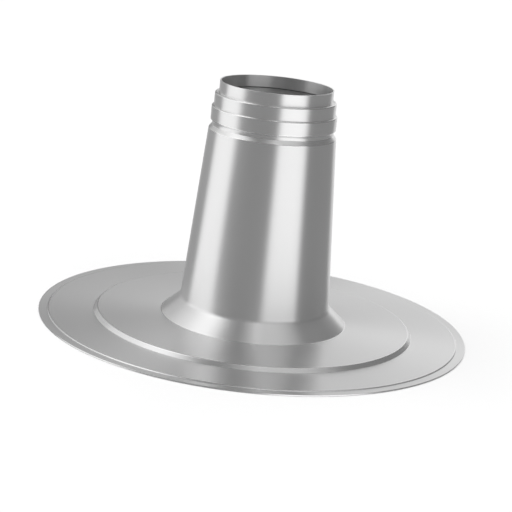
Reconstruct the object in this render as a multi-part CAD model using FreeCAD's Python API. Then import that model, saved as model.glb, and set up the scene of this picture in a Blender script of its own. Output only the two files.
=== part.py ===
import FreeCAD, Part
import math
import os
from typing import NamedTuple

# Flashing boot for a round pipe through a flat roof, spun from one disc of
# aluminium sheet: a flange that lies on the roof, a cone that the pipe comes
# up through, and three stepped collars at the top, each for a hood or sleeve
# of another size. A rolled groove parts the collars from the cone.
#
# Millimetres. +Z is up the pipe. The origin is on the boot's axis, in the
# plane of the rim's underside. Each radius and height below is that of the
# weather side of the sheet, and the underside follows it one wall further in.

# The sheet. Every bend is given by the radius on its inside.
WALL = 1.5
STEP_BEND = 0.5
SHOULDER_BEND = 0.2
CUT_EDGE_CHAMFER = 0.25

# The flange, from its edge inwards: runs are radial and rises are upwards.
FLANGE_RADIUS = 250.0
RIM_WIDTH = 9.7
RIM_STEP_RUN = 1.1
RIM_STEP_RISE = 1.1
RING_WIDTH = 52.5
MAIN_STEP_RUN = 4.0
MAIN_STEP_RISE = 4.6

# The flare between the flange and the cone.
FLARE_RUN = 21.0
FLARE_RISE = 19.3
FLARE_FOOT_BEND = 1.2
FLARE_TOP_BEND = 7.0

# The cone, which leans in by its taper in degrees.
CONE_RISE = 200.2
CONE_TAPER = 4.05

# The groove. The lip of the cone stands out past the lowest collar. A straight
# flank leads in to the bottom, and a rounder one leads out to that collar.
LIP_OVERHANG = 1.35
GROOVE_DEPTH = 2.2
LOWER_FLANK_RISE = 4.5
GROOVE_BOTTOM_RISE = 3.6
UPPER_FLANK_RISE = 2.0
GROOVE_FOOT_BEND = 0.8
GROOVE_HEAD_BEND = 3.5

# The collars. The top one is the narrowest, and the others step out from it.
TOP_COLLAR_RADIUS = 64.9
MIDDLE_COLLAR_STEP = 4.55
LOW_COLLAR_STEP = 2.3
LOW_COLLAR_RISE = 16.2
MIDDLE_COLLAR_RISE = 15.0
TOP_COLLAR_RISE = 13.6


class Corner(NamedTuple):
    """A sharp corner of the weather side, and the inside radius of its bend."""

    radius: float
    height: float
    bend: float = 0.0

    def then(self, run: float = 0.0, rise: float = 0.0, bend: float = 0.0) -> "Corner":
        """The next corner, further in by run and higher by rise."""
        return Corner(self.radius - run, self.height + rise, bend)

    def point(self) -> FreeCAD.Vector:
        """The corner's place in the XZ plane."""
        return FreeCAD.Vector(self.radius, 0.0, self.height)


def weather_side() -> list[Corner]:
    """The corners of the weather side, from the edge of the rim to the top."""
    low_collar_radius = TOP_COLLAR_RADIUS + MIDDLE_COLLAR_STEP + LOW_COLLAR_STEP
    cone_run = CONE_RISE * math.tan(math.radians(CONE_TAPER))
    flare_foot_radius = low_collar_radius + LIP_OVERHANG + cone_run + FLARE_RUN

    rim_edge = Corner(FLANGE_RADIUS, WALL)
    rim_step_foot = rim_edge.then(run=RIM_WIDTH, bend=STEP_BEND)
    rim_step_head = rim_step_foot.then(RIM_STEP_RUN, RIM_STEP_RISE, STEP_BEND)
    main_step_foot = rim_step_head.then(run=RING_WIDTH, bend=STEP_BEND)
    main_step_head = main_step_foot.then(MAIN_STEP_RUN, MAIN_STEP_RISE, STEP_BEND)
    plateau_width = main_step_head.radius - flare_foot_radius
    flare_foot = main_step_head.then(run=plateau_width, bend=FLARE_FOOT_BEND)
    cone_foot = flare_foot.then(FLARE_RUN, FLARE_RISE, FLARE_TOP_BEND)
    cone_lip = cone_foot.then(cone_run, CONE_RISE, STEP_BEND)
    groove_foot = cone_lip.then(LIP_OVERHANG + GROOVE_DEPTH, LOWER_FLANK_RISE, GROOVE_FOOT_BEND)
    groove_head = groove_foot.then(rise=GROOVE_BOTTOM_RISE, bend=GROOVE_HEAD_BEND)
    low_collar_foot = groove_head.then(-GROOVE_DEPTH, UPPER_FLANK_RISE, SHOULDER_BEND)
    low_collar_head = low_collar_foot.then(rise=LOW_COLLAR_RISE, bend=SHOULDER_BEND)
    middle_collar_foot = low_collar_head.then(run=LOW_COLLAR_STEP, bend=SHOULDER_BEND)
    middle_collar_head = middle_collar_foot.then(rise=MIDDLE_COLLAR_RISE, bend=SHOULDER_BEND)
    top_collar_foot = middle_collar_head.then(run=MIDDLE_COLLAR_STEP, bend=SHOULDER_BEND)
    top_edge = top_collar_foot.then(rise=TOP_COLLAR_RISE)
    return [
        rim_edge, rim_step_foot, rim_step_head, main_step_foot, main_step_head,
        flare_foot, cone_foot, cone_lip, groove_foot, groove_head,
        low_collar_foot, low_collar_head, middle_collar_foot, middle_collar_head,
        top_collar_foot, top_edge,
    ]


def bent_line(corners: list[Corner]) -> Part.Wire:
    """The line through the corners, with a tangent arc at every bend.

    The sheet lies under the line, so a bend that folds over the sheet is one
    wall larger here than on its inside.
    """
    edges = []
    run_start = corners[0].point()
    for before, corner, after in zip(corners, corners[1:], corners[2:]):
        tip = corner.point()
        back = (before.point() - tip).normalize()
        ahead = (after.point() - tip).normalize()
        folds_over_sheet = back.cross(ahead).y > 0.0
        radius = corner.bend + WALL if folds_over_sheet else corner.bend
        half_turn = (math.pi - back.getAngle(ahead)) / 2.0
        reach = radius * math.tan(half_turn)
        cut_back = radius / math.cos(half_turn) - radius
        arc_start = tip + back * reach
        arc_middle = tip + (back + ahead).normalize() * cut_back
        arc_end = tip + ahead * reach
        edges.append(Part.LineSegment(run_start, arc_start).toShape())
        edges.append(Part.Arc(arc_start, arc_middle, arc_end).toShape())
        run_start = arc_end
    edges.append(Part.LineSegment(run_start, corners[-1].point()).toShape())
    return Part.Wire(edges)


def spun_sheet(line: Part.Wire) -> Part.Shape:
    """One wall of sheet under the line, turned once round the axis."""
    rounded_corners = 0
    close_the_ends = True
    keep_line_open = True
    section = line.makeOffset2D(WALL, rounded_corners, close_the_ends, keep_line_open)
    axis_foot = FreeCAD.Vector(0.0, 0.0, 0.0)
    axis = FreeCAD.Vector(0.0, 0.0, 1.0)
    return section.revolve(axis_foot, axis, 360.0)


def trimmed_edges(sheet: Part.Shape, top_height: float) -> list[Part.Edge]:
    """The circles where the sheet was cut: two round the rim, two at the top."""
    circles = [edge for edge in sheet.Edges if isinstance(edge.Curve, Part.Circle)]
    return [
        circle for circle in circles
        if math.isclose(circle.Curve.Radius, FLANGE_RADIUS)
        or math.isclose(circle.Curve.Center.z, top_height)
    ]


def flashing_boot() -> Part.Shape:
    """The whole boot, with the burr taken off its cut edges."""
    corners = weather_side()
    sheet = spun_sheet(bent_line(corners))
    cut_edges = trimmed_edges(sheet, corners[-1].height)
    return sheet.makeChamfer(CUT_EDGE_CHAMFER, cut_edges)


os.makedirs("parts", exist_ok=True)
flashing_boot().exportStep("parts/flashing_boot.step")
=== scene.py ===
"""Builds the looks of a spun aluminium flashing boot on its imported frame.

The boot is one sheet spun round one axis. Its section is drawn once, with a
true bend at every fold, and turned into a closed, seamless skin of one wall.
"""

import logging
import math
from dataclasses import dataclass
from enum import Enum

import bpy
from mathutils import Matrix, Vector

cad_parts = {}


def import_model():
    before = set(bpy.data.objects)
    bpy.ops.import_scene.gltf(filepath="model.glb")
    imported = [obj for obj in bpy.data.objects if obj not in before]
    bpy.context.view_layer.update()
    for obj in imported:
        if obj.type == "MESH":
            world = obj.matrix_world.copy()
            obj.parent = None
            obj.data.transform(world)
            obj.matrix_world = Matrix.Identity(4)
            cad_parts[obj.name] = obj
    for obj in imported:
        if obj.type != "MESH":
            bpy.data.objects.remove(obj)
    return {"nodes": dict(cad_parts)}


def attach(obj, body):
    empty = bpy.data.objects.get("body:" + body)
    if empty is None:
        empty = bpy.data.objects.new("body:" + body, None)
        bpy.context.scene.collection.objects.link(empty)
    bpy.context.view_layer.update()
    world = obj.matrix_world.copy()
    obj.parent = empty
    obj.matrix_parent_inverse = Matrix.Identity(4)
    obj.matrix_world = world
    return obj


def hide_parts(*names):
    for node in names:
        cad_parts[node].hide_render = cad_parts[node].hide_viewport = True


LOG = logging.getLogger("flashing_boot_scene")
BODY = "root"
CAD_NODE = "flashing_boot"
MILLIMETRE = 0.001
LEAST_TURN = 0.0001


class Zone(Enum):
    """The two looks of the metal, by the index of their finish on the mesh."""

    RUN = 0
    FOLD = 1


class SheetSide(Enum):
    """The two faces of the sheet, and which way each one looks from the line."""

    WEATHER = 1.0
    UNDER = -1.0


@dataclass(frozen=True)
class SectionPoint:
    """A point of the section with the way the surface looks there.

    Attributes:
        radius: Distance from the axis, in millimetres.
        height: Height over the roof, in millimetres.
        outward: Radial share of the surface's unit normal.
        upward: Vertical share of the surface's unit normal.
    """

    radius: float
    height: float
    outward: float
    upward: float

    def fold_radius(self, after: "SectionPoint") -> float:
        """Measures how tightly the surface turns on the way to the next point.

        Args:
            after: The next point of the section.

        Returns:
            The radius of the turn in millimetres, without end on a straight run.
        """
        turn = math.hypot(after.outward - self.outward, after.upward - self.upward)
        way = math.hypot(after.radius - self.radius, after.height - self.height)
        return way / turn if turn > LEAST_TURN else math.inf


@dataclass(frozen=True)
class Corner:
    """A sharp corner of the weather side, and the inside radius of its bend.

    Attributes:
        radius: Distance from the axis, in millimetres.
        height: Height over the roof, in millimetres.
        bend: Inside radius of the bend, in millimetres.
    """

    radius: float
    height: float
    bend: float = 0.0

    def then(self, run: float = 0.0, rise: float = 0.0, bend: float = 0.0) -> "Corner":
        """Gives the next corner, further in by run and higher by rise."""
        return Corner(self.radius - run, self.height + rise, bend)

    def point(self) -> Vector:
        """Gives the corner as a point of the section plane."""
        return Vector((self.radius, self.height))


@dataclass(frozen=True)
class Bend:
    """One fold of the sheet, as an arc about a centre both faces share.

    Attributes:
        centre: Centre of the arc in the section plane.
        weather_radius: Radius of the weather side.
        under_radius: Radius of the underside.
        start: Unit vector from the centre to where the arc starts.
        sweep: Signed angle of the arc, in radians.
        folds_over: True if the weather side is the outer side of the fold.
    """

    centre: Vector
    weather_radius: float
    under_radius: float
    start: Vector
    sweep: float
    folds_over: bool

    def points(self, side: SheetSide, step: float) -> list[SectionPoint]:
        """Draws the arc on one face of the sheet.

        Args:
            side: The face of the sheet to draw.
            step: Largest angle between two points, in radians.

        Returns:
            The points of the arc, in the order of the weather side.
        """
        radius = self.weather_radius if side is SheetSide.WEATHER else self.under_radius
        looks_out = 1.0 if self.folds_over else -1.0
        count = max(2, math.ceil(abs(self.sweep) / step))
        drawn = []
        for index in range(count + 1):
            spoke = self.start.copy()
            spoke.rotate(Matrix.Rotation(self.sweep * index / count, 2))
            place = self.centre + spoke * radius
            normal = spoke * looks_out * side.value
            drawn.append(SectionPoint(place.x, place.y, normal.x, normal.y))
        return drawn


@dataclass(frozen=True)
class SatinAluminium:
    """Bare spun aluminium: a satin metal with faint rings from the spinning.

    Attributes:
        name: Name of the finish.
        bright: Colour of the metal where it is brightest.
        dull: Colour of the metal where the oxide is a little thicker.
        smooth: Lowest roughness.
        rough: Highest roughness.
        brushing: How much more the metal blurs across the spinning marks than along them.
        quarter_turn: Turn of that blur, so that the marks run round the axis.
        ring_pitch: Rings for each metre across the sheet.
        ring_detail: How many finer sets of rings lie on the first.
        ring_height: Height of the rings, in metres.
        patch_pitch: Patches of thicker oxide for each metre.
        patch_detail: How many finer sets of patches lie on the first.
    """

    name: str
    bright: tuple[float, float, float] = (0.91, 0.91, 0.91)
    dull: tuple[float, float, float] = (0.88, 0.88, 0.88)
    smooth: float = 0.32
    rough: float = 0.36
    brushing: float = 0.9
    quarter_turn: float = 0.25
    ring_pitch: float = 420.0
    ring_detail: float = 3.0
    ring_height: float = 0.000004
    patch_pitch: float = 9.0
    patch_detail: float = 2.0

    def material(self) -> bpy.types.Material:
        """Builds the node material.

        Returns:
            The material, with rings that follow the radius and the height.
        """
        made = bpy.data.materials.new(self.name)
        made.use_nodes = True
        nodes = made.node_tree.nodes
        links = made.node_tree.links
        nodes.clear()
        output = nodes.new("ShaderNodeOutputMaterial")
        metal = nodes.new("ShaderNodeBsdfPrincipled")
        metal.inputs["Metallic"].default_value = 1.0
        metal.inputs["Anisotropic"].default_value = self.brushing
        metal.inputs["Anisotropic Rotation"].default_value = self.quarter_turn
        links.new(metal.outputs["BSDF"], output.inputs["Surface"])

        round_axis = nodes.new("ShaderNodeTangent")
        round_axis.direction_type = "RADIAL"
        round_axis.axis = "Z"
        links.new(round_axis.outputs["Tangent"], metal.inputs["Tangent"])

        place = nodes.new("ShaderNodeTexCoord")
        split = nodes.new("ShaderNodeSeparateXYZ")
        flat = nodes.new("ShaderNodeCombineXYZ")
        radius = nodes.new("ShaderNodeVectorMath")
        radius.operation = "LENGTH"
        ring = nodes.new("ShaderNodeCombineXYZ")
        links.new(place.outputs["Object"], split.inputs["Vector"])
        links.new(split.outputs["X"], flat.inputs["X"])
        links.new(split.outputs["Y"], flat.inputs["Y"])
        links.new(flat.outputs["Vector"], radius.inputs[0])
        links.new(radius.outputs["Value"], ring.inputs["X"])
        links.new(split.outputs["Z"], ring.inputs["Z"])

        rings = nodes.new("ShaderNodeTexNoise")
        rings.inputs["Scale"].default_value = self.ring_pitch
        rings.inputs["Detail"].default_value = self.ring_detail
        links.new(ring.outputs["Vector"], rings.inputs["Vector"])

        patches = nodes.new("ShaderNodeTexNoise")
        patches.inputs["Scale"].default_value = self.patch_pitch
        patches.inputs["Detail"].default_value = self.patch_detail
        links.new(place.outputs["Object"], patches.inputs["Vector"])

        tint = nodes.new("ShaderNodeMix")
        tint.data_type = "RGBA"
        tint.inputs["A"].default_value = (*self.dull, 1.0)
        tint.inputs["B"].default_value = (*self.bright, 1.0)
        links.new(patches.outputs["Fac"], tint.inputs["Factor"])
        links.new(tint.outputs["Result"], metal.inputs["Base Color"])

        gloss = nodes.new("ShaderNodeMapRange")
        gloss.inputs["To Min"].default_value = self.smooth
        gloss.inputs["To Max"].default_value = self.rough
        links.new(rings.outputs["Fac"], gloss.inputs["Value"])
        links.new(gloss.outputs["Result"], metal.inputs["Roughness"])

        relief = nodes.new("ShaderNodeBump")
        relief.inputs["Strength"].default_value = 1.0
        relief.inputs["Distance"].default_value = self.ring_height
        links.new(rings.outputs["Fac"], relief.inputs["Height"])
        links.new(relief.outputs["Normal"], metal.inputs["Normal"])
        return made


@dataclass(frozen=True)
class MattPaint:
    """Matt grey paint, a little uneven.

    Attributes:
        name: Name of the paint.
        light: Colour where it is lightest.
        shade: Colour where it is darkest.
        roughness: Roughness of the paint.
        cloud_pitch: Clouds of the colour for each metre.
    """

    name: str
    light: tuple[float, float, float]
    shade: tuple[float, float, float]
    roughness: float = 0.9
    cloud_pitch: float = 0.5

    def material(self) -> bpy.types.Material:
        """Builds the node material of the paint.

        Returns:
            The material, clouded between its two colours.
        """
        made = bpy.data.materials.new(self.name)
        made.use_nodes = True
        nodes = made.node_tree.nodes
        links = made.node_tree.links
        paint = nodes["Principled BSDF"]
        paint.inputs["Roughness"].default_value = self.roughness
        paint.inputs["Specular IOR Level"].default_value = 0.0
        place = nodes.new("ShaderNodeTexCoord")
        cloud = nodes.new("ShaderNodeTexNoise")
        cloud.inputs["Scale"].default_value = self.cloud_pitch
        tint = nodes.new("ShaderNodeMix")
        tint.data_type = "RGBA"
        tint.inputs["A"].default_value = (*self.shade, 1.0)
        tint.inputs["B"].default_value = (*self.light, 1.0)
        links.new(place.outputs["Object"], cloud.inputs["Vector"])
        links.new(cloud.outputs["Fac"], tint.inputs["Factor"])
        links.new(tint.outputs["Result"], paint.inputs["Base Color"])
        return made


@dataclass
class SpunBoot:
    """The boot: rim, flange, flare, cone, groove and three collars in one sheet.

    All sizes are in millimetres. Runs go in towards the axis and rises go up.
    A fold with a radius under burnished_below takes the fold finish.
    """

    wall: float = 1.5
    cut_edge_round: float = 0.25
    edge_steps: int = 3
    step_bend: float = 0.5
    shoulder_bend: float = 0.2
    flange_radius: float = 250.0
    rim_width: float = 9.7
    rim_step_run: float = 1.1
    rim_step_rise: float = 1.1
    ring_width: float = 52.5
    main_step_run: float = 4.0
    main_step_rise: float = 4.6
    flare_run: float = 21.0
    flare_rise: float = 19.3
    flare_foot_bend: float = 1.2
    flare_top_bend: float = 7.0
    cone_rise: float = 200.2
    cone_taper: float = 4.05
    lip_overhang: float = 1.35
    groove_depth: float = 2.2
    lower_flank_rise: float = 4.5
    groove_bottom_rise: float = 3.6
    upper_flank_rise: float = 2.0
    groove_foot_bend: float = 0.8
    groove_head_bend: float = 3.5
    top_collar_radius: float = 64.9
    middle_collar_step: float = 4.55
    low_collar_step: float = 2.3
    low_collar_rise: float = 16.2
    middle_collar_rise: float = 15.0
    top_collar_rise: float = 13.6
    burnished_below: float = 2.9
    spokes: int = 288
    arc_step: float = math.radians(9.0)
    longest_run: float = 12.0
    run_finish: SatinAluminium = SatinAluminium(name="satin_spun_aluminium")
    fold_finish: SatinAluminium = SatinAluminium(
        name="burnished_fold_aluminium", smooth=0.21, rough=0.24
    )

    def corners(self) -> list[Corner]:
        """Walks up the weather side.

        Returns:
            Its sharp corners, from the edge of the rim to the top.
        """
        low_collar_radius = (
            self.top_collar_radius + self.middle_collar_step + self.low_collar_step
        )
        cone_run = self.cone_rise * math.tan(math.radians(self.cone_taper))
        flare_foot_radius = low_collar_radius + self.lip_overhang + cone_run + self.flare_run

        rim_edge = Corner(self.flange_radius, self.wall)
        rim_step_foot = rim_edge.then(run=self.rim_width, bend=self.step_bend)
        rim_step_head = rim_step_foot.then(
            self.rim_step_run, self.rim_step_rise, self.step_bend
        )
        main_step_foot = rim_step_head.then(run=self.ring_width, bend=self.step_bend)
        main_step_head = main_step_foot.then(
            self.main_step_run, self.main_step_rise, self.step_bend
        )
        flare_foot = main_step_head.then(
            run=main_step_head.radius - flare_foot_radius, bend=self.flare_foot_bend
        )
        cone_foot = flare_foot.then(self.flare_run, self.flare_rise, self.flare_top_bend)
        cone_lip = cone_foot.then(cone_run, self.cone_rise, self.step_bend)
        groove_foot = cone_lip.then(
            self.lip_overhang + self.groove_depth, self.lower_flank_rise, self.groove_foot_bend
        )
        groove_head = groove_foot.then(rise=self.groove_bottom_rise, bend=self.groove_head_bend)
        low_collar_foot = groove_head.then(
            -self.groove_depth, self.upper_flank_rise, self.shoulder_bend
        )
        low_collar_head = low_collar_foot.then(
            rise=self.low_collar_rise, bend=self.shoulder_bend
        )
        middle_collar_foot = low_collar_head.then(
            run=self.low_collar_step, bend=self.shoulder_bend
        )
        middle_collar_head = middle_collar_foot.then(
            rise=self.middle_collar_rise, bend=self.shoulder_bend
        )
        top_collar_foot = middle_collar_head.then(
            run=self.middle_collar_step, bend=self.shoulder_bend
        )
        top_edge = top_collar_foot.then(rise=self.top_collar_rise)
        return [
            rim_edge, rim_step_foot, rim_step_head, main_step_foot, main_step_head,
            flare_foot, cone_foot, cone_lip, groove_foot, groove_head,
            low_collar_foot, low_collar_head, middle_collar_foot, middle_collar_head,
            top_collar_foot, top_edge,
        ]

    def bend_at(self, before: Corner, corner: Corner, after: Corner) -> Bend:
        """Rounds one corner as the sheet folds there.

        Args:
            before: The corner that comes before it.
            corner: The corner to round.
            after: The corner that comes after it.

        Returns:
            The fold, tangent to the runs on both sides of the corner.
        """
        tip = corner.point()
        back = (before.point() - tip).normalized()
        ahead = (after.point() - tip).normalized()
        turn = back.x * ahead.y - back.y * ahead.x
        folds_over = turn < 0.0
        weather_radius = corner.bend + (self.wall if folds_over else 0.0)
        under_radius = corner.bend + (0.0 if folds_over else self.wall)
        half_turn = (math.pi - back.angle(ahead)) / 2.0
        arc_start = tip + back * weather_radius * math.tan(half_turn)
        centre = tip + (back + ahead).normalized() * weather_radius / math.cos(half_turn)
        sweep = 2.0 * half_turn * (1.0 if folds_over else -1.0)
        start = (arc_start - centre).normalized()
        return Bend(centre, weather_radius, under_radius, start, sweep, folds_over)

    def face_line(self, side: SheetSide) -> list[SectionPoint]:
        """Draws one face of the sheet without its cut edges.

        Args:
            side: The face to draw.

        Returns:
            Points from the rim to the top, with the long runs divided.
        """
        corners = self.corners()
        line = []
        for before, corner, after in zip(corners, corners[1:], corners[2:]):
            arc = self.bend_at(before, corner, after).points(side, self.arc_step)
            if line:
                line.extend(self.between(line[-1], arc[0]))
            line.extend(arc)
        return line

    def between(self, start: SectionPoint, end: SectionPoint) -> list[SectionPoint]:
        """Divides a straight run of the section.

        Args:
            start: The last point before the run.
            end: The first point after it.

        Returns:
            The points in between, without the two ends.
        """
        length = math.hypot(end.radius - start.radius, end.height - start.height)
        parts = max(1, math.ceil(length / self.longest_run))
        return [
            SectionPoint(
                start.radius + (end.radius - start.radius) * index / parts,
                start.height + (end.height - start.height) * index / parts,
                start.outward,
                start.upward,
            )
            for index in range(1, parts)
        ]

    def cut_edge(self, corner: Corner, way_out: Vector, looks: Vector) -> list[SectionPoint]:
        """Draws a cut edge of the sheet, with its burr taken off.

        Args:
            corner: The corner where the weather side ends.
            way_out: Unit vector along the sheet, out of its edge.
            looks: Unit normal of the weather side there.

        Returns:
            Points round the edge, from the weather side to the underside.
        """
        burr = self.cut_edge_round
        quarter = math.pi / 2.0
        outer = corner.point() - way_out * burr - looks * burr
        inner = corner.point() - way_out * burr - looks * (self.wall - burr)
        drawn = []
        for centre, first, second in ((outer, looks, way_out), (inner, way_out, -looks)):
            for index in range(self.edge_steps + 1):
                angle = quarter * index / self.edge_steps
                normal = first * math.cos(angle) + second * math.sin(angle)
                place = centre + normal * burr
                drawn.append(SectionPoint(place.x, place.y, normal.x, normal.y))
        return drawn

    def section(self) -> list[SectionPoint]:
        """Closes the section round the whole sheet.

        Returns:
            The closed line: weather side, top edge, underside, rim edge.
        """
        corners = self.corners()
        weather = self.face_line(SheetSide.WEATHER)
        under = self.face_line(SheetSide.UNDER)
        top = self.cut_edge(corners[-1], Vector((0.0, 1.0)), Vector((1.0, 0.0)))
        rim = self.cut_edge(corners[0], Vector((1.0, 0.0)), Vector((0.0, 1.0)))
        rim.reverse()
        under.reverse()
        line = list(weather)
        for stretch in (top, under, rim):
            line.extend(self.between(line[-1], stretch[0]))
            line.extend(stretch)
        line.extend(self.between(line[-1], line[0]))
        return line

    def build(self) -> bpy.types.Object:
        """Turns the section once round the axis.

        Returns:
            The boot as one closed mesh with the true normals of the sheet.
        """
        line = self.section()
        count = len(line)
        places = []
        normals = []
        for spoke in range(self.spokes):
            angle = 2.0 * math.pi * spoke / self.spokes
            east = math.cos(angle)
            north = math.sin(angle)
            for point in line:
                radius = point.radius * MILLIMETRE
                places.append((radius * east, radius * north, point.height * MILLIMETRE))
                normals.append((point.outward * east, point.outward * north, point.upward))
        faces = []
        zones = []
        for spoke in range(self.spokes):
            here = spoke * count
            there = (spoke + 1) % self.spokes * count
            for index in range(count):
                ahead = (index + 1) % count
                faces.append((here + index, there + index, there + ahead, here + ahead))
                tight = line[index].fold_radius(line[ahead]) < self.burnished_below
                zones.append(Zone.FOLD.value if tight else Zone.RUN.value)
        mesh = bpy.data.meshes.new("spun_boot")
        mesh.from_pydata(places, [], faces)
        mesh.polygons.foreach_set("material_index", zones)
        mesh.shade_smooth()
        mesh.normals_split_custom_set_from_vertices(normals)
        boot = bpy.data.objects.new("spun_boot", mesh)
        bpy.context.scene.collection.objects.link(boot)
        return boot

    def dress(self, boot: bpy.types.Object) -> bpy.types.Object:
        """Gives the boot its two finishes and its place in the frame.

        Args:
            boot: The boot's mesh object.

        Returns:
            The same object, dressed.
        """
        for finish in (self.run_finish, self.fold_finish):
            boot.data.materials.append(finish.material())
        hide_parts(CAD_NODE)
        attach(boot, BODY)
        return boot


@dataclass(frozen=True)
class SoftPanel:
    """A soft light panel of the studio, given by where it stands.

    All angles are in degrees. The bearing is 0 behind the boot and grows to
    the right.

    Attributes:
        bearing: Bearing of the panel's middle.
        half_width: Half of the panel's width.
        low: Elevation of its lower edge.
        high: Elevation of its upper edge.
        strength: Its light.
        soft_side: Half width of the fade at its sides.
        soft_end: Half width of the fade at its lower and upper edges.
    """

    bearing: float
    half_width: float
    low: float
    high: float
    strength: float
    soft_side: float = 5.0
    soft_end: float = 6.0


@dataclass
class Studio:
    """The studio: soft panels round the boot, a pale floor and a top light.

    Sizes and heights are in metres.
    """

    panels: tuple[SoftPanel, ...] = (
        SoftPanel(bearing=0.0, half_width=190.0, low=-95.0, high=0.0, strength=0.09),
        SoftPanel(bearing=-88.0, half_width=25.0, low=-95.0, high=12.0, strength=0.75, soft_side=7.0),
        SoftPanel(bearing=-85.0, half_width=32.0, low=12.0, high=38.0, strength=0.72),
        SoftPanel(bearing=-82.0, half_width=38.0, low=38.0, high=68.0, strength=0.76, soft_side=8.0),
        SoftPanel(bearing=-90.0, half_width=24.0, low=42.0, high=80.0, strength=0.50, soft_side=8.0),
        SoftPanel(bearing=-40.0, half_width=14.0, low=0.0, high=35.0, strength=0.38),
        SoftPanel(bearing=-13.0, half_width=13.0, low=0.0, high=28.0, strength=0.06),
        SoftPanel(bearing=-13.0, half_width=13.0, low=28.0, high=50.0, strength=0.36),
        SoftPanel(bearing=13.0, half_width=14.0, low=0.0, high=42.0, strength=0.64),
        SoftPanel(bearing=-13.0, half_width=13.0, low=-95.0, high=0.0, strength=0.18),
        SoftPanel(bearing=16.0, half_width=16.0, low=-95.0, high=0.0, strength=0.46),
        SoftPanel(bearing=30.0, half_width=25.0, low=42.0, high=75.0, strength=0.20),
        SoftPanel(bearing=140.5, half_width=27.0, low=-95.0, high=14.0, strength=1.0, soft_side=6.0),
        SoftPanel(bearing=130.0, half_width=45.0, low=50.0, high=80.0, strength=0.60, soft_side=8.0),
        SoftPanel(bearing=180.0, half_width=24.0, low=62.0, high=86.0, strength=0.56, soft_side=8.0),
        SoftPanel(bearing=180.0, half_width=60.0, low=15.0, high=45.0, strength=0.10, soft_side=8.0),
    )
    base_light: float = 0.19
    floor_reach: float = 14.0
    floor_height: float = -0.0002
    pad_radius: float = 0.246
    pad_height: float = -0.0001
    pad_spokes: int = 96
    top_light_power: float = 2.2
    top_light_spread: float = math.radians(100.0)
    floor_paint: MattPaint = MattPaint(
        name="pale_floor_paint", light=(0.86, 0.86, 0.86), shade=(0.83, 0.83, 0.83)
    )
    # The pad's near-black paint is painted shade for the inside of the boot, not a part of the boot.
    shade_pad_paint: MattPaint = MattPaint(
        name="painted_shade_pad", light=(0.06, 0.06, 0.06), shade=(0.04, 0.04, 0.04)
    )

    def panel_light(
        self,
        tree: bpy.types.NodeTree,
        bearing: bpy.types.NodeSocket,
        elevation: bpy.types.NodeSocket,
        panel: SoftPanel,
    ) -> bpy.types.NodeSocket:
        """Adds one panel to the world's nodes.

        Args:
            tree: The world's node tree.
            bearing: Socket with the bearing of the view ray, in radians.
            elevation: Socket with its elevation, in radians.
            panel: The panel to add.

        Returns:
            The socket with the panel's light along the ray.
        """
        nodes = tree.nodes
        links = tree.links
        turn = nodes.new("ShaderNodeMath")
        turn.operation = "SUBTRACT"
        turn.inputs[1].default_value = math.radians(panel.bearing)
        links.new(bearing, turn.inputs[0])
        wrap = nodes.new("ShaderNodeMath")
        wrap.operation = "WRAP"
        wrap.inputs[1].default_value = math.pi
        wrap.inputs[2].default_value = -math.pi
        links.new(turn.outputs[0], wrap.inputs[0])
        away = nodes.new("ShaderNodeMath")
        away.operation = "ABSOLUTE"
        links.new(wrap.outputs[0], away.inputs[0])
        dark_side = panel.half_width + panel.soft_side
        lit_side = panel.half_width - panel.soft_side
        across = self.fade(tree, away.outputs[0], dark_side, lit_side)
        foot = self.fade(tree, elevation, panel.low - panel.soft_end, panel.low + panel.soft_end)
        head = self.fade(tree, elevation, panel.high + panel.soft_end, panel.high - panel.soft_end)
        both = self.product(tree, foot, head)
        whole = self.product(tree, across, both)
        power = nodes.new("ShaderNodeMath")
        power.operation = "MULTIPLY"
        power.inputs[1].default_value = panel.strength
        links.new(whole, power.inputs[0])
        return power.outputs[0]

    def fade(
        self, tree: bpy.types.NodeTree, angle: bpy.types.NodeSocket, dark: float, lit: float
    ) -> bpy.types.NodeSocket:
        """Fades from dark to lit between two angles.

        Args:
            tree: The world's node tree.
            angle: Socket with the angle to fade by, in radians.
            dark: Angle where it is dark, in degrees.
            lit: Angle where it is fully lit, in degrees.

        Returns:
            The socket with the fade, from 0 to 1.
        """
        ramp = tree.nodes.new("ShaderNodeMapRange")
        ramp.interpolation_type = "SMOOTHSTEP"
        rising = dark < lit
        ramp.inputs["From Min"].default_value = math.radians(min(dark, lit))
        ramp.inputs["From Max"].default_value = math.radians(max(dark, lit))
        ramp.inputs["To Min"].default_value = 0.0 if rising else 1.0
        ramp.inputs["To Max"].default_value = 1.0 if rising else 0.0
        tree.links.new(angle, ramp.inputs["Value"])
        return ramp.outputs["Result"]

    def product(
        self, tree: bpy.types.NodeTree, one: bpy.types.NodeSocket, other: bpy.types.NodeSocket
    ) -> bpy.types.NodeSocket:
        """Multiplies two sockets.

        Args:
            tree: The world's node tree.
            one: The first socket.
            other: The second socket.

        Returns:
            The socket with their product.
        """
        times = tree.nodes.new("ShaderNodeMath")
        times.operation = "MULTIPLY"
        tree.links.new(one, times.inputs[0])
        tree.links.new(other, times.inputs[1])
        return times.outputs[0]

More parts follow.
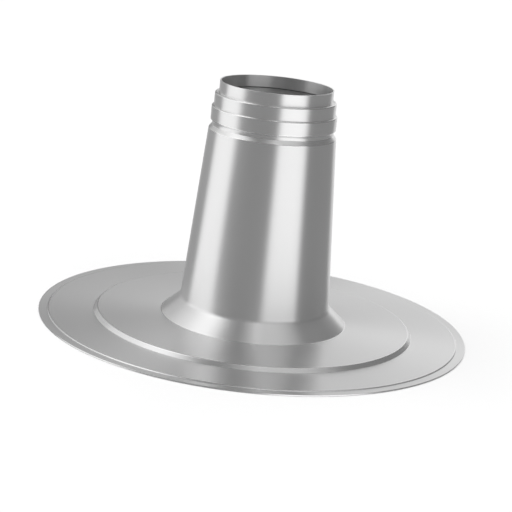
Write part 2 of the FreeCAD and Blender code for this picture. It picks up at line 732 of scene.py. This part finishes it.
    def build_world(self) -> bpy.types.World:
        """Builds the light that comes from all round.

        Returns:
            The world, with every soft panel in its nodes.
        """
        world = bpy.data.worlds.new("studio")
        world.use_nodes = True
        tree = world.node_tree
        nodes = tree.nodes
        links = tree.links
        nodes.clear()
        output = nodes.new("ShaderNodeOutputWorld")
        glow = nodes.new("ShaderNodeBackground")
        glow.inputs["Color"].default_value = (1.0, 1.0, 1.0, 1.0)
        links.new(glow.outputs["Background"], output.inputs["Surface"])
        ray = nodes.new("ShaderNodeTexCoord")
        split = nodes.new("ShaderNodeSeparateXYZ")
        links.new(ray.outputs["Generated"], split.inputs["Vector"])
        bearing = nodes.new("ShaderNodeMath")
        bearing.operation = "ARCTAN2"
        links.new(split.outputs["X"], bearing.inputs[0])
        links.new(split.outputs["Y"], bearing.inputs[1])
        elevation = nodes.new("ShaderNodeMath")
        elevation.operation = "ARCSINE"
        links.new(split.outputs["Z"], elevation.inputs[0])
        total = None
        for panel in self.panels:
            light = self.panel_light(tree, bearing.outputs[0], elevation.outputs[0], panel)
            added = nodes.new("ShaderNodeMath")
            added.operation = "ADD"
            if total is None:
                added.inputs[1].default_value = self.base_light
            else:
                links.new(total, added.inputs[1])
            links.new(light, added.inputs[0])
            total = added.outputs[0]
        links.new(total, glow.inputs["Strength"])
        bpy.context.scene.world = world
        return world

    def build_floor(self) -> bpy.types.Object:
        """Lays the pale floor that the boot stands on.

        Returns:
            The floor, which no reflection and no shadow ray sees.
        """
        mesh = bpy.data.meshes.new("floor")
        reach = self.floor_reach
        corners = ((-reach, -reach), (reach, -reach), (reach, reach), (-reach, reach))
        mesh.from_pydata([(x, y, self.floor_height) for x, y in corners], [], [(0, 1, 2, 3)])
        floor = bpy.data.objects.new("floor", mesh)
        bpy.context.scene.collection.objects.link(floor)
        mesh.materials.append(self.floor_paint.material())
        floor.visible_glossy = False
        floor.visible_shadow = False
        return floor

    def build_pad(self) -> bpy.types.Object:
        """Lays the pad under the boot, so that no light comes in from below. Its near-black paint is
        painted shade that darkens the inside of the boot.

        Returns:
            The pad, hidden under the flange.
        """
        mesh = bpy.data.meshes.new("pad")
        ring = []
        for spoke in range(self.pad_spokes):
            angle = 2.0 * math.pi * spoke / self.pad_spokes
            east = self.pad_radius * math.cos(angle)
            north = self.pad_radius * math.sin(angle)
            ring.append((east, north, self.pad_height))
        mesh.from_pydata(ring, [], [tuple(range(self.pad_spokes))])
        pad = bpy.data.objects.new("pad", mesh)
        bpy.context.scene.collection.objects.link(pad)
        mesh.materials.append(self.shade_pad_paint.material())
        return pad

    def build_top_light(self) -> bpy.types.Object:
        """Hangs the wide soft light that brightens the floor.

        Returns:
            The light, which no reflection sees.
        """
        light = bpy.data.lights.new("top_light", "SUN")
        light.energy = self.top_light_power
        light.angle = self.top_light_spread
        lamp = bpy.data.objects.new("top_light", light)
        lamp.visible_glossy = False
        bpy.context.scene.collection.objects.link(lamp)
        return lamp


@dataclass(frozen=True)
class Viewpoint:
    """Where the camera stands and what it looks at, in metres.

    Attributes:
        place: Where the camera stands.
        target: The point it looks at.
        roll: Its roll about the line of sight, in radians.
        lens: Focal length, in millimetres.
        sensor: Width of the sensor, in millimetres.
        sight: How far it sees.
    """

    place: Vector = Vector((0.0, -1.819, 0.5632))
    target: Vector = Vector((-0.00379, 0.0, 0.07944))
    roll: float = math.radians(6.0)
    lens: float = 113.64
    sensor: float = 36.0
    sight: float = 100.0

    def build(self) -> bpy.types.Object:
        """Sets up the camera.

        Returns:
            The scene's camera.
        """
        data = bpy.data.cameras.new("camera")
        data.lens = self.lens
        data.sensor_width = self.sensor
        data.clip_end = self.sight
        camera = bpy.data.objects.new("camera", data)
        bpy.context.scene.collection.objects.link(camera)
        forward = (self.target - self.place).normalized()
        level = forward.cross(Vector((0.0, 0.0, 1.0))).normalized()
        upright = level.cross(forward)
        right = level * math.cos(self.roll) + upright * math.sin(self.roll)
        up = upright * math.cos(self.roll) - level * math.sin(self.roll)
        turn = Matrix((right, up, -forward)).transposed().to_4x4()
        camera.matrix_world = Matrix.Translation(self.place) @ turn
        bpy.context.scene.camera = camera
        return camera


def main() -> None:
    """Loads the frame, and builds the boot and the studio."""
    logging.basicConfig(level=logging.INFO, format="%(name)s: %(message)s")
    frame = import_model()
    LOG.info("frame loaded: %s", sorted(frame["nodes"]))
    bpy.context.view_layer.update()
    boot = SpunBoot()
    skin = boot.dress(boot.build())
    LOG.info("%s: %d faces", skin.name, len(skin.data.polygons))
    studio = Studio()
    studio.build_world()
    for piece in (studio.build_floor(), studio.build_pad(), studio.build_top_light()):
        LOG.info("%s placed", piece.name)
    camera = Viewpoint().build()
    LOG.info("%s placed", camera.name)
    bpy.context.scene.view_settings.view_transform = "Standard"


if __name__ == "__main__":
    main()
